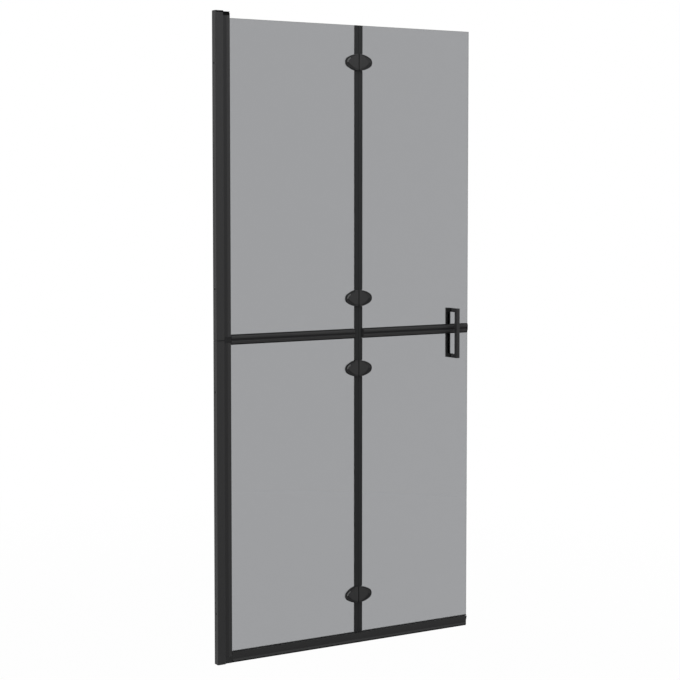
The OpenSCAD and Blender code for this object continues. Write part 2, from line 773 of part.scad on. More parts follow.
// One half of the handle: a bar and two posts, on the side of the glass given by face
module handle_half(face) color(black_paint) translate([handle_x, 0, handle_z]) {
    b = handle_bar / 2;
    h = handle_h / 2;
    outer = face * handle_out;
    inner = face * (handle_out - handle_bar);
    bed = face * plate_bed;
    difference() {
        union() {
            soft_block([-b, min(outer, inner), -h], [b, max(outer, inner), h], handle_bevel);
            for (z = [-h, h - handle_bar])
                soft_block([-b, min(outer, bed), z], [b, max(outer, bed), z + handle_bar], handle_bevel);
        }
        for (z = [b - h, h - b]) rod_y(0, z, min(inner, 0), max(inner, 0), stud_r + pin_slack);
    }
}

module handle_front() handle_half(-1);

module handle_back() handle_half(1);

module handle_pads() color(black_rubber)
    for (z = post_z, f = [-1, 1]) translate([handle_x, 0, z]) difference() {
        soft = 0.5;
        half = handle_bar / 2 - soft;
        union() {
            along_y(f < 0 ? -plate_bed : half_glass, f < 0 ? -half_glass : plate_bed)
                cut_rect([-half, -half], [half, half], soft);
            if (f < 0) rod_y(0, 0, -plate_bed, half_glass - bush_slack, bush_r);
        }
        rod_y(0, 0, -plate_bed - cut, plate_bed + cut, stud_r + screw_slack);
    }

module handle_studs() color(steel) {
    reach = handle_out - handle_bar - 0.5;
    for (z = post_z) rod_y(handle_x, z, -reach, reach, stud_r);
}

wall_channel_lower();
wall_channel_upper();
channel_top_cap();
lock_screws();
threshold_rail();
threshold_foot();
threshold_corner_block();
threshold_end_cap();
inner_profile_lower();
inner_profile_upper();
inner_profile_cap();
mid_bracket();
mid_bracket_screw();
glazing_gasket_lower();
glazing_gasket_upper();
fixed_glass_lower();
fixed_glass_upper();
fixed_mid_rail();
fixed_mid_gaskets();
fixed_fold_seal();
fixed_bottom_lip();
fixed_hinge_pads();
fixed_hinge_screws();
folding_glass_lower();
folding_glass_upper();
folding_mid_rail();
folding_mid_gaskets();
mid_rail_end_cap();
folding_fold_seal();
folding_bottom_lip();
folding_hinge_pads();
folding_hinge_screws();
handle_front();
handle_back();
handle_pads();
handle_studs();
for (i = [0 : len(HINGES) - 1]) {
    hinge_cover(i, -1);
    hinge_cover(i, 1);
    hinge_leaf(i, -1);
    hinge_leaf(i, 1);
    hinge_pin(i);
}
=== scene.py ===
"""Finishes, covers, rails, trim, seals, pulls and studio for a folding shower screen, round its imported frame."""

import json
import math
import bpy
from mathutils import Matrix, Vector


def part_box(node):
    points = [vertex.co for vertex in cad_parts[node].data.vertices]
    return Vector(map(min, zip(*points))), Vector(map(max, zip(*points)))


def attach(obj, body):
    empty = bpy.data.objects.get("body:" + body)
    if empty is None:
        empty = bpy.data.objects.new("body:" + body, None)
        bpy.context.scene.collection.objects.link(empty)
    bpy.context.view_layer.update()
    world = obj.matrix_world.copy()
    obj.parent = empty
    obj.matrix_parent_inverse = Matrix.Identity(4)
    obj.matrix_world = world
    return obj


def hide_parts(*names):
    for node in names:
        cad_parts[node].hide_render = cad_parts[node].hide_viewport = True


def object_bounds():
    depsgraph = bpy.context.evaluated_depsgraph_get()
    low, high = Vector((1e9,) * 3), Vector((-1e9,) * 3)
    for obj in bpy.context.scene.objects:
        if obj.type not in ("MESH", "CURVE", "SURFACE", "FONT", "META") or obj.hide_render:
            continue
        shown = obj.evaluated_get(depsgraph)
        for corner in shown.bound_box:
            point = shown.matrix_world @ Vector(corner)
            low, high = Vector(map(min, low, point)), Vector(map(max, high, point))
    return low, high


bl_info = {
    "name": "Folding Shower Screen",
    "version": (1, 0, 0),
    "blender": (4, 5, 0),
    "location": "3D View > Sidebar > Shower Screen",
    "description": "Dresses a folding glass shower screen and sets up its studio",
    "category": "Object",
}

import bmesh
import bpy
from bpy.props import FloatProperty, FloatVectorProperty, IntProperty, PointerProperty
from mathutils import Matrix, Vector

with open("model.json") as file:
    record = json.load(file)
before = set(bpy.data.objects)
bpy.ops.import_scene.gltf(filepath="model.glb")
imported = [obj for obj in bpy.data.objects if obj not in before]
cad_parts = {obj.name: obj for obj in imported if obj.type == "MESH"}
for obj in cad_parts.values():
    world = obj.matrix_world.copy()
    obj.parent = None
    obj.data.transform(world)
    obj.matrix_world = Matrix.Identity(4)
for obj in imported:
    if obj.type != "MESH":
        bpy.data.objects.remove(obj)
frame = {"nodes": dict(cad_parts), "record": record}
cad_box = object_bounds()

HINGES = ("bottom", "lower", "upper", "top")
LEAVES = {"fixed": ("fixed_leaf", -1), "folding": ("folding_leaf", 1)}  # its body, and its side of the fold

WELD = 0.000005  # vertices nearer than this become one
TOUCH = 0.00001  # vertices nearer than this to a plane lie on it
SEAT = 0.0002  # how far thin trim is let into what carries it
FILM = 0.00002  # gap that keeps two soft faces apart
BAR_GROWTH = 0.0008  # how much thicker the pulls are than the CAD's


def hinge_centre(hinge):
    """The middle of a hinge on the plane of the glass, from its two front covers."""
    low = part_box(f"hinge_{hinge}_cover_fixed")
    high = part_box(f"hinge_{hinge}_cover_folding")
    return Vector(((low[0].x + high[1].x) / 2, 0, (low[0].z + low[1].z) / 2))


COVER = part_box("hinge_top_cover_folding")
FOLD = hinge_centre("top").x
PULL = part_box("handle_front")
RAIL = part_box("folding_mid_rail")


class ScreenColours(bpy.types.PropertyGroup):
    powder_coat: FloatVectorProperty(
        name="Powder coat", description="Colour of the channel, rails, hinges and pulls",
        default=(0.021, 0.021, 0.0215), min=0, max=1, subtype="COLOR")
    # The anodised black is darker than the powder coat partly as painted shade: the extra darkness stands in for the
    # shade on the set-back inner profile. The threshold takes the same darker black.
    anodised_and_painted_shade: FloatVectorProperty(
        name="Anodised", description="Colour of the inner profile and the threshold",
        default=(0.0125, 0.0125, 0.013), min=0, max=1, subtype="COLOR")
    # The moulded black colours the bracket and the rail's cap. It is also painted shade: the darker tone in the
    # rail's groove and on its upper flange, and round the covers' rims and lower slopes.
    caps_and_painted_shade: FloatVectorProperty(
        name="Moulded caps", description="Colour of the bracket, the rail's groove and cap, and the covers' rims",
        default=(0.01, 0.01, 0.0105), min=0, max=1, subtype="COLOR")
    deep_black: FloatVectorProperty(
        name="Deep black", description="Colour of the caps, the threshold's foot and the shaded lower edges",
        default=(0.002, 0.002, 0.002), min=0, max=1, subtype="COLOR")
    seal_rubber: FloatVectorProperty(
        name="Seal rubber", description="Colour of the seals, gaskets and pads",
        default=(0.0145, 0.015, 0.0155), min=0, max=1, subtype="COLOR")
    smoked_glass: FloatVectorProperty(
        name="Smoked glass", description="Tint of the glass from face to face",
        default=(0.31, 0.315, 0.325), min=0, max=1, subtype="COLOR")
    fixings: FloatVectorProperty(
        name="Fixings", description="Colour of the screws, studs and pins",
        default=(0.42, 0.42, 0.43), min=0, max=1, subtype="COLOR")
    floor: FloatVectorProperty(
        name="Floor", description="Colour of the studio floor",
        default=(0.25, 0.25, 0.25), min=0, max=1, subtype="COLOR")


class CoverSizes(bpy.types.PropertyGroup):
    width: FloatProperty(
        name="Width", description="Length of both halves of an oval together",
        default=(COVER[1].x - FOLD) * 2, min=0.06, max=0.12, unit="LENGTH")
    height: FloatProperty(
        name="Height", description="Height of the oval",
        default=0.05, min=0.04, max=0.07, unit="LENGTH")
    end_radius: FloatProperty(
        name="End radius", description="Radius at the ends of the oval",
        default=0.016, min=0.01, max=0.02, unit="LENGTH")
    seam: FloatProperty(
        name="Seam", description="Gap between the two halves",
        default=(COVER[0].x - FOLD) * 2, min=0.001, max=0.004, unit="LENGTH")
    rim_step: FloatProperty(
        name="Rim step", description="Drop from the top of the dome to the rim",
        default=0.0001, min=0.0001, max=0.001, unit="LENGTH")
    chamfer: FloatProperty(
        name="Chamfer", description="Width and height of the slant outside the rim",
        default=0.0007, min=0.0005, max=0.0015, unit="LENGTH")
    rim_width: FloatProperty(
        name="Rim width", description="Width of the flat of the rim at the oval's ends",
        default=0.0046, min=0.001, max=0.006, unit="LENGTH")
    slope: FloatProperty(
        name="Slope", description="Width of the slope inside the rim at the oval's ends",
        default=0.006, min=0.002, max=0.008, unit="LENGTH")
    valley: FloatProperty(
        name="Valley", description="Depth of the foot of the slope below the rim at the oval's ends",
        default=0.0023, min=0.001, max=0.0026, unit="LENGTH")
    valley_width: FloatProperty(
        name="Valley width", description="Width of the flat between the slope and the dome",
        default=0.0008, min=0.0004, max=0.002, unit="LENGTH")
    dome_radius: FloatProperty(
        name="Dome radius", description="Radius of the dome",
        default=0.6, min=0.4, max=0.9, unit="LENGTH")
    dome_edge: FloatProperty(
        name="Dome edge", description="Width of the strip where the dome rises out of the valley",
        default=0.0008, min=0.0004, max=0.002, unit="LENGTH")
    squeeze: FloatProperty(
        name="Squeeze", description="Share of these widths that is left above and below the dome",
        default=0.4, min=0.2, max=1)
    seal_gap: FloatProperty(
        name="Seal gap", description="Clearance round the seal under the cover",
        default=0.0003, min=0.0001, max=0.001, unit="LENGTH")


class RailSizes(bpy.types.PropertyGroup):
    height: FloatProperty(
        name="Height", description="Height of the middle rail",
        default=RAIL[1].z - RAIL[0].z, min=0.02, max=0.04, unit="LENGTH")
    depth: FloatProperty(
        name="Depth", description="Depth of the rail over its beads",
        default=RAIL[1].y - RAIL[0].y, min=0.018, max=0.021, unit="LENGTH")
    slot: FloatProperty(
        name="Slot", description="Half width of the slot that takes glass and gasket",
        default=0.0062, min=0.0054, max=0.0066, unit="LENGTH")
    web: FloatProperty(
        name="Web", description="Thickness of the web between the panes",
        default=0.0068, min=0.0056, max=0.008, unit="LENGTH")
    port: FloatProperty(
        name="Port", description="Radius of the screw port in the web",
        default=0.0018, min=0.0014, max=0.0022, unit="LENGTH")
    cap: FloatProperty(
        name="Cap", description="Thickness of the cap on the free end",
        default=0.002, min=0.0015, max=0.003, unit="LENGTH")


class TrimSizes(bpy.types.PropertyGroup):
    ridge_width: FloatProperty(
        name="Ridge width", description="Width of the ridge along the mouth of the inner profile",
        default=0.0115, min=0.008, max=0.0125, unit="LENGTH")
    ridge_height: FloatProperty(
        name="Ridge height", description="Rise of the ridge over the inner profile's face",
        default=0.0016, min=0.0005, max=0.0018, unit="LENGTH")
    band_height: FloatProperty(
        name="Band height", description="Height of the dark band under the channel's cap",
        default=0.0044, min=0.002, max=0.006, unit="LENGTH")
    band_start: FloatProperty(
        name="Band start", description="Distance of the dark bands from the wall",
        default=0.0024, min=0.001, max=0.005, unit="LENGTH")
    band_rise: FloatProperty(
        name="Band rise", description="How far the dark bands stand out from the channel's face",
        default=0.0004, min=0.0001, max=0.001, unit="LENGTH")
    seam_cover: FloatProperty(
        name="Seam cover", description="Half height of the dark line over the seam between the channel's lengths",
        default=0.0008, min=0.0004, max=0.0015, unit="LENGTH")
    threshold_half: FloatProperty(
        name="Threshold half", description="Half width of the threshold at its foot",
        default=0.0068, min=0.006, max=0.009, unit="LENGTH")
    ledge_foot: FloatProperty(
        name="Ledge foot", description="Height of the ledge's underside above the floor",
        default=0.0055, min=0.0035, max=0.008, unit="LENGTH")
    ledge_height: FloatProperty(
        name="Ledge height", description="Height of the ledge where it meets the threshold",
        default=0.0052, min=0.002, max=0.006, unit="LENGTH")
    ledge_edge: FloatProperty(
        name="Ledge edge", description="Thickness of the ledge at its outer edge",
        default=0.0006, min=0.0003, max=0.002, unit="LENGTH")
    ledge_out: FloatProperty(
        name="Ledge reach", description="How far the ledge stands out from the threshold's side",
        default=0.0036, min=0.001, max=0.004, unit="LENGTH")


class SealSizes(bpy.types.PropertyGroup):
    wing: FloatProperty(
        name="Wing", description="Width of the seal's wing on the folding leaf between the hinges",
        default=0.0026, min=0.001, max=0.005, unit="LENGTH")
    wing_root: FloatProperty(
        name="Wing root", description="Thickness of the wing where it leaves the seal",
        default=0.0006, min=0.0003, max=0.0007, unit="LENGTH")
    wing_tip: FloatProperty(
        name="Wing tip", description="Thickness of the wing at its edge",
        default=0.0003, min=0.0002, max=0.0006, unit="LENGTH")
    clearance: FloatProperty(
        name="Clearance", description="Gap between the wing and the hinges and the rail",
        default=0.0005, min=0.0002, max=0.002, unit="LENGTH")
    splay: FloatProperty(
        name="Splay", description="Spread of the bottom lip's foot past the glass",
        default=0.0006, min=0.0001, max=0.0012, unit="LENGTH")


class PullSizes(bpy.types.PropertyGroup):
    bar: FloatProperty(
        name="Bar", description="Side of the square bar",
        default=PULL[1].x - PULL[0].x + BAR_GROWTH, min=0.008, max=0.016, unit="LENGTH")
    edge: FloatProperty(
        name="Edge", description="Radius of the bar's edges",
        default=0.0005, min=0.0003, max=0.003, unit="LENGTH")
    edge_steps: IntProperty(
        name="Edge steps", description="Facets across each rounded edge",
        default=3, min=1, max=6)
    pad: FloatProperty(
        name="Pad", description="Thickness of the rubber pads under the posts",
        default=0.001, min=0.0006, max=0.0015, unit="LENGTH")
    bush_radius: FloatProperty(
        name="Bush radius", description="Radius of the rubber bush that is squeezed into the glass",
        default=0.0052, min=0.004, max=0.0054, unit="LENGTH")


class StudioSettings(bpy.types.PropertyGroup):
    camera_place: FloatVectorProperty(
        name="Camera", description="Where the camera stands",
        default=(-2.385, -4.5056, 1.3894), subtype="TRANSLATION", unit="LENGTH")
    camera_yaw: FloatProperty(
        name="Yaw", description="Turn of the camera from the screen's normal",
        default=math.radians(-31.963), subtype="ANGLE")
    camera_pitch: FloatProperty(
        name="Pitch", description="Downward tilt of the camera",
        default=math.radians(3.574), subtype="ANGLE")
    focal_length: FloatProperty(
        name="Focal length", description="Focal length on a 36 mm sensor",
        default=93.35, min=20, max=200, unit="CAMERA")
    rise: FloatProperty(
        name="Rise", description="Vertical shift of the lens",
        default=-0.06, min=-0.25, max=0.25)
    key_power: FloatProperty(
        name="Key light", description="Power of the large lamp at the front left",
        default=150, min=0, max=500, unit="POWER")
    fill_power: FloatProperty(
        name="Fill light", description="Power of the lamp at the right and of the one behind",
        default=13, min=0, max=500, unit="POWER")
    top_power: FloatProperty(
        name="Top light", description="Power of the lamp overhead",
        default=64, min=0, max=500, unit="POWER")
    ambient: FloatProperty(
        name="Ambient", description="Strength of the surrounding light on the object",
        default=0.44, min=0, max=1)
    shadow_reach: FloatProperty(
        name="Shadow reach", description="Distance from the wall end up to which the floor keeps its full shadow",
        default=0.8, min=0, max=5, unit="LENGTH")
    white_reach: FloatProperty(
        name="White reach", description="Distance from the wall end past which the floor is plain white",
        default=3, min=1, max=20, unit="LENGTH")
    whiteness: FloatProperty(
        name="Whiteness", description="Share of plain white in the floor near the object",
        default=0.985, min=0, max=1)


GROUPS = (
    (ScreenColours, "screen_colours"),
    (CoverSizes, "cover_sizes"),
    (RailSizes, "rail_sizes"),
    (TrimSizes, "trim_sizes"),
    (SealSizes, "seal_sizes"),
    (PullSizes, "pull_sizes"),
    (StudioSettings, "studio_settings"),
)


def set_inputs(node, values):
    """Sets some of a node's inputs, each by its name or number."""
    for label, value in values.items():
        node.inputs[label].default_value = value


def add_node(tree, kind, values=None, operation=None):
    """A new shader node, with its operation and the values of some of its inputs."""
    node = tree.nodes.new(kind)
    if operation:
        node.operation = operation
    set_inputs(node, values or {})
    return node


def join(tree, *pairs):
    """Links pairs of sockets, each an output and the input that it feeds."""
    for source, target in pairs:
        tree.links.new(source, target)


def new_group(name, inputs, outputs):
    """An empty shader node group with named sockets, and the sockets of its first and last node."""
    group = bpy.data.node_groups.new(name, "ShaderNodeTree")
    for label, kind, value in inputs:
        socket = group.interface.new_socket(name=label, in_out="INPUT", socket_type=kind)
        socket.default_value = value
    for label, kind in outputs:
        group.interface.new_socket(name=label, in_out="OUTPUT", socket_type=kind)
    return group, group.nodes.new("NodeGroupInput").outputs, group.nodes.new("NodeGroupOutput").inputs


def fine_grain_group():
    """Fine pebbled grain, as on powder coat and moulded plastic, given as a height."""
    group, given, result = new_group(
        "Fine Grain",
        [("Scale", "NodeSocketFloat", 900.0), ("Coarseness", "NodeSocketFloat", 0.35)],
        [("Height", "NodeSocketFloat")])
    place = add_node(group, "ShaderNodeTexCoord").outputs["Object"]
    fine = add_node(group, "ShaderNodeTexNoise", {"Detail": 3})
    coarse = add_node(group, "ShaderNodeTexNoise", {"Detail": 1})
    third = add_node(group, "ShaderNodeMath", {1: 0.3}, "MULTIPLY")
    blend = add_node(group, "ShaderNodeMix")
    join(group,
         (place, fine.inputs["Vector"]),
         (place, coarse.inputs["Vector"]),
         (given["Scale"], fine.inputs["Scale"]),
         (given["Scale"], third.inputs[0]),
         (third.outputs["Value"], coarse.inputs["Scale"]),
         (given["Coarseness"], blend.inputs["Factor"]),
         (fine.outputs["Fac"], blend.inputs["A"]),
         (coarse.outputs["Fac"], blend.inputs["B"]),
         (blend.outputs["Result"], result["Height"]))


def handling_group():
    """Slow variation over a surface: a shade darker and lighter, and smoother and rougher where it is wiped."""
    group, given, result = new_group(
        "Handling",
        [("Colour", "NodeSocketColor", (0.5, 0.5, 0.5, 1)), ("Shade", "NodeSocketFloat", 0.1),
         ("Roughness", "NodeSocketFloat", 0.4), ("Spread", "NodeSocketFloat", 0.06),
         ("Scale", "NodeSocketFloat", 9.0)],
        [("Colour", "NodeSocketColor"), ("Roughness", "NodeSocketFloat")])
    place = add_node(group, "ShaderNodeTexCoord").outputs["Object"]
    cloud = add_node(group, "ShaderNodeTexNoise", {"Detail": 4, "Roughness": 0.6})
    centred = add_node(group, "ShaderNodeMath", {1: 0.5}, "SUBTRACT")
    shade = add_node(group, "ShaderNodeMath", {2: 1}, "MULTIPLY_ADD")
    spread = add_node(group, "ShaderNodeMath", operation="MULTIPLY_ADD")
    tinted = add_node(group, "ShaderNodeVectorMath", operation="SCALE")
    join(group,
         (place, cloud.inputs["Vector"]),
         (given["Scale"], cloud.inputs["Scale"]),
         (cloud.outputs["Fac"], centred.inputs[0]),
         (centred.outputs["Value"], shade.inputs[0]),
         (given["Shade"], shade.inputs[1]),
         (centred.outputs["Value"], spread.inputs[0]),
         (given["Spread"], spread.inputs[1]),
         (given["Roughness"], spread.inputs[2]),
         (given["Colour"], tinted.inputs[0]),
         (shade.outputs["Value"], tinted.inputs["Scale"]),
         (tinted.outputs["Vector"], result["Colour"]),
         (spread.outputs["Value"], result["Roughness"]))


def place_group(material, group, values):
    """A copy of a node group in a material, with its inputs set by name."""
    node = add_node(material.node_tree, "ShaderNodeGroup")
    node.node_tree = bpy.data.node_groups[group]
    set_inputs(node, values)
    return node


def new_material(name, values):
    """A material with values on the sockets of its shader, and that shader."""
    material = bpy.data.materials.new(name)
    material.use_nodes = True
    shader = material.node_tree.nodes["Principled BSDF"]
    set_inputs(shader, values)
    return material, shader


def add_grain(material, shader, scale, coarseness, depth, strength):
    """Gives a material's surface a fine grain or long waves."""
    grain = place_group(material, "Fine Grain", {"Scale": scale, "Coarseness": coarseness})
    bump = add_node(material.node_tree, "ShaderNodeBump", {"Distance": depth, "Strength": strength})
    join(material.node_tree,
         (grain.outputs["Height"], bump.inputs["Height"]),
         (bump.outputs["Normal"], shader.inputs["Normal"]))


def surface_material(name, colour, roughness, specular=0.5, metallic=0.0, shade=0.1, spread=0.06,
                     cloud_scale=9.0, grain_scale=900.0, grain_strength=0.3):
    """A material with slow variation in shade and roughness over a fine grain."""
    material, shader = new_material(name, {"Metallic": metallic, "Specular IOR Level": specular})
    handling = place_group(material, "Handling", {"Colour": (*colour, 1), "Shade": shade, "Roughness": roughness,
                                                  "Spread": spread, "Scale": cloud_scale})
    join(material.node_tree,
         (handling.outputs["Colour"], shader.inputs["Base Color"]),
         (handling.outputs["Roughness"], shader.inputs["Roughness"]))
    add_grain(material, shader, grain_scale, coarseness=0.35, depth=0.00002, strength=grain_strength)


def clear_material(name, tint, ior):
    """A see-through material whose faces have long shallow waves."""
    material, shader = new_material(name, {"Base Color": (*tint, 1), "Roughness": 0, "IOR": ior,
                                           "Transmission Weight": 1})
    add_grain(material, shader, scale=4, coarseness=0.5, depth=0.0002, strength=0.05)


# Each opaque finish, with its colour in ScreenColours and what surface_material makes of it
SURFACES = {
    "Powder coat": ("powder_coat", dict(roughness=0.42, specular=0.2, shade=0.15, spread=0.08)),
    # Anodised: a second black finish, darker partly as painted shade for the set-back inner profile
    "Anodised": ("anodised_and_painted_shade", dict(roughness=0.36, specular=0.2, grain_scale=2400, grain_strength=0.15)),
    # Moulded caps: the real caps, and also the painted shade on the rails and the hinge covers
    "Moulded caps": ("caps_and_painted_shade", dict(roughness=0.5, specular=0.15, shade=0.15, grain_scale=1600,
                                          grain_strength=0.4)),
    "Deep black": ("deep_black", dict(roughness=0.6, specular=0.05, shade=0.15, grain_scale=1600,
                                      grain_strength=0.4)),
    # A glossy copy of the powder coat, put on the covers' upper slopes as a painted highlight
    "Machined edge": ("powder_coat", dict(roughness=0.25, specular=1, grain_strength=0.1)),
    "Seal rubber": ("seal_rubber", dict(roughness=0.6, specular=0.15, shade=0.2, cloud_scale=14,
                                        grain_scale=1200, grain_strength=0.5)),
    "Plated steel": ("fixings", dict(roughness=0.3, metallic=1, shade=0.2, spread=0.15, cloud_scale=60,
                                     grain_scale=2200, grain_strength=0.15)),
}

# The finish of each of the record's material slots
SLOT_FINISHES = {
    "black_metal": "Powder coat",
    "black_plastic": "Moulded caps",
    "black_rubber": "Seal rubber",
    "smoked_glass": "Smoked glass",
    "fixings": "Plated steel",
}

# The CAD nodes whose finish isn't their slot's; the inner profile's darker anodised black is partly painted shade for
# its set-back face
NODE_FINISHES = {
    "Anodised": ("inner_profile_lower", "inner_profile_upper", "threshold_rail", "threshold_corner_block"),
    "Deep black": ("channel_top_cap", "inner_profile_cap", "threshold_end_cap", "threshold_foot"),
}


def dress(nodes, finish):
    """Gives CAD nodes a material in place of the one they were packed with."""
    material = bpy.data.materials[finish]
    for name in nodes:
        slots = frame["nodes"][name].material_slots
        for slot in slots:
            slot.material = material
        if not slots:
            frame["nodes"][name].data.materials.append(material)


def slot_nodes(slot):
    """The CAD nodes that take their finish from one of the record's slots."""
    return [row["node"] for row in frame["record"]["subparts"] if row["material_slot"] == slot]


def make_piece(name, bm, finishes, body, replaces=()):
    """Turns a bmesh into a finished piece that rides on a body; its faces choose from the finishes."""
    bmesh.ops.remove_doubles(bm, verts=bm.verts, dist=WELD)
    bmesh.ops.recalc_face_normals(bm, faces=bm.faces)
    mesh = bpy.data.meshes.new(name)
    sharp = math.radians(40)
    for face in bm.faces:
        face.smooth = True
    for edge in bm.edges:
        edge.smooth = len(edge.link_faces) == 2 and edge.calc_face_angle(0) < sharp
    bm.to_mesh(mesh)
    bm.free()
    for finish in finishes:
        mesh.materials.append(bpy.data.materials[finish])
    piece = bpy.data.objects.new(name, mesh)
    bpy.context.scene.collection.objects.link(piece)
    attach(piece, body)
    if replaces:
        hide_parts(*replaces)
    return piece


def soften(piece, width):
    """Rounds the edges that a piece's own shape leaves crisp."""
    edges = piece.modifiers.new("soft_edges", "BEVEL")
    edges.width = width
    edges.segments = 2
    edges.limit_method = "ANGLE"
    edges.angle_limit = math.radians(35)
    edges.use_clamp_overlap = True


def extrude(bm, faces):
    """Extrudes faces as one region and returns the new vertices, still in place."""
    result = bmesh.ops.extrude_face_region(bm, geom=faces)
    return [item for item in result["geom"] if isinstance(item, bmesh.types.BMVert)]


def everything(bm):
    """All of a bmesh's vertices, edges and faces."""
    return bm.verts[:] + bm.edges[:] + bm.faces[:]


def arc(bm, start, centre, angle, steps):
    """Spins a vertex round the Y direction through a centre and returns the last vertex."""
    result = bmesh.ops.spin(bm, geom=[start], cent=centre, axis=(0, 1, 0), angle=angle, steps=steps)
    return [item for item in result["geom_last"] if isinstance(item, bmesh.types.BMVert)][0]


def half_oval(bm, sizes, inset, y):
    """The curved edge of half an oval on the plane at y, drawn in by inset, as a chain of edges."""
    side_steps, end_steps = 24, 16
    reach = sizes.width / 2 - sizes.end_radius
    high = sizes.height / 2
    big = (reach ** 2 + high ** 2 - sizes.end_radius ** 2) / (2 * (high - sizes.end_radius))
    drop = big - high
    seam = sizes.seam / 2
    sweep = math.atan2(reach, drop)
    long_arc = sweep - math.asin(seam / (big - inset))
    others = set(bm.edges)
    top = bm.verts.new((seam, y, math.sqrt((big - inset) ** 2 - seam ** 2) - drop))
    shoulder = arc(bm, top, (0, y, -drop), long_arc, side_steps)
    hip = arc(bm, shoulder, (reach, y, 0), math.pi - 2 * sweep, end_steps)
    arc(bm, hip, (0, y, drop), long_arc, side_steps)
    return [edge for edge in bm.edges if edge not in others]


def verts_of(edges):
    """The vertices of some edges, each once and in their order."""
    return list(dict.fromkeys(vert for edge in edges for vert in edge.verts))


# The covers' finishes: powder coat, and the rest painted highlight and painted shade
COVER_FINISHES = ("Powder coat", "Moulded caps", "Machined edge", "Deep black")

# Where a cover's shape and finish change, as shares of half its width or height; the finishes here are painted
# highlight and painted shade
VALLEY_FADE = 0.72  # the valley is at its full depth from here outwards
PAINTED_HIGHLIGHT_FROM = 0.6  # the upper slope takes the glossy painted highlight from here outwards
PAINTED_SHADE_FROM = 0.3  # the chamfer, the rim and the valley are dark from here outwards, as painted shade
PAINTED_SHADOW_BELOW = -0.2  # the wall and the chamfer are black from here down, as painted shadow


def cover_finish_and_painted_light(strip, x, z):
    """The finish of a cover's strip where it is at x and z, as shares of half the width and half the height: powder
    coat on the dome and inner parts, a glossy painted highlight on the upper slope away from the fold, black painted
    shadow low on the wall and chamfer, and darker painted shade on the rest of the outer ring and on the lower slope.
    """
    if strip == "dome":
        return "Powder coat"
    if strip == "slope" and z > 0:
        return "Powder coat" if x < PAINTED_HIGHLIGHT_FROM else "Machined edge"
    if strip in ("wall", "chamfer") and z < PAINTED_SHADOW_BELOW:
        return "Deep black"
    if strip in ("chamfer", "rim", "valley") and x < PAINTED_SHADE_FROM:
        return "Powder coat"
    return "Moulded caps"


def close_dome(bm, ring, centre, height):
    """Fills a ring of edges in steps down to its centre, each vertex as far out as its place calls for."""
    rings = 10
    for left in range(rings, 0, -1):
        result = bmesh.ops.extrude_edge_only(bm, edges=ring)
        verts = [item for item in result["geom"] if isinstance(item, bmesh.types.BMVert)]
        ring = [item for item in result["geom"] if isinstance(item, bmesh.types.BMEdge)
                and all(vert in verts for vert in item.verts)]
        share = (left - 1) / left
        bmesh.ops.scale(bm, vec=(share, 1, share), space=Matrix.Translation((-centre, 0, 0)), verts=verts)
        for vert in verts:
            vert.co.y = height(vert.co)


def domed_cover(sizes, front, bed, seal):
    """Half of an oval hinge cover round the origin, from its front to its bed: a flat rim, a slope down to a
    valley that fades out towards the fold, and a shallow dome. Its back steps clear of the seal's corner."""
    bm = bmesh.new()
    half_width = sizes.width / 2
    half_height = sizes.height / 2
    radius = sizes.dome_radius
    rim = front + sizes.rim_step
    rim_inset = sizes.chamfer + sizes.rim_width
    slope_inset = rim_inset + sizes.slope
    valley_inset = slope_inset + sizes.valley_width

    def flat(point):
        return rim

    def valley(point):
        return rim + sizes.valley * min(1, point.x / (VALLEY_FADE * half_width))

    def dome(point):
        return min(front + radius - math.sqrt(radius ** 2 - point.x ** 2 - point.z ** 2), valley(point))

    def ring_at(inset, height):
        edges = half_oval(bm, sizes, inset, rim)
        extra = inset - sizes.chamfer
        squeezed = (half_height - sizes.chamfer - extra * sizes.squeeze) / (half_height - inset)
        for vert in verts_of(edges):
            vert.co.z *= squeezed
            vert.co.y = height(vert.co)
        return edges

    back = half_oval(bm, sizes, 0, seal.y)
    dome_edge = ring_at(valley_inset + sizes.dome_edge, dome)
    chains = [back, half_oval(bm, sizes, 0, rim + sizes.chamfer), half_oval(bm, sizes, sizes.chamfer, rim),
              ring_at(rim_inset, flat), ring_at(slope_inset, valley), ring_at(valley_inset, valley), dome_edge]
    strips = ("wall", "chamfer", "rim", "slope", "valley", "dome")
    for below, above, strip in zip(chains, chains[1:], strips):
        for face in bmesh.ops.bridge_loops(bm, edges=below + above)["faces"]:
            middle = face.calc_center_median()
            finish = cover_finish_and_painted_light(strip, middle.x / half_width, middle.z / half_height)
            face.material_index = COVER_FINISHES.index(finish)
    close_dome(bm, dome_edge, sizes.seam / 2, dome)

    ends = [vert for vert in verts_of(back) if vert.co.x < sizes.seam / 2 + TOUCH]
    bmesh.ops.contextual_create(bm, geom=back + [bm.edges.new(ends)])
    bmesh.ops.remove_doubles(bm, verts=bm.verts, dist=WELD)
    bmesh.ops.contextual_create(bm, geom=[edge for edge in bm.edges if edge.is_boundary])

    bmesh.ops.bisect_plane(bm, geom=everything(bm), plane_co=(seal.x, 0, 0), plane_no=(1, 0, 0))
    foot = [face for face in bm.faces if face.calc_center_median().x > seal.x
            and all(abs(vert.co.y - seal.y) < TOUCH for vert in face.verts)]
    for vert in extrude(bm, foot):
        vert.co.y = bed
    return bm


def add_bar(bm, outline, start, end, axis=0):
    """Adds a bar along an axis whose section is an outline in the two other directions."""
    section = bm.faces.new([bm.verts.new(point[:axis] + (start,) + point[axis:]) for point in outline])
    for vert in extrude(bm, [section]):
        vert.co[axis] = end


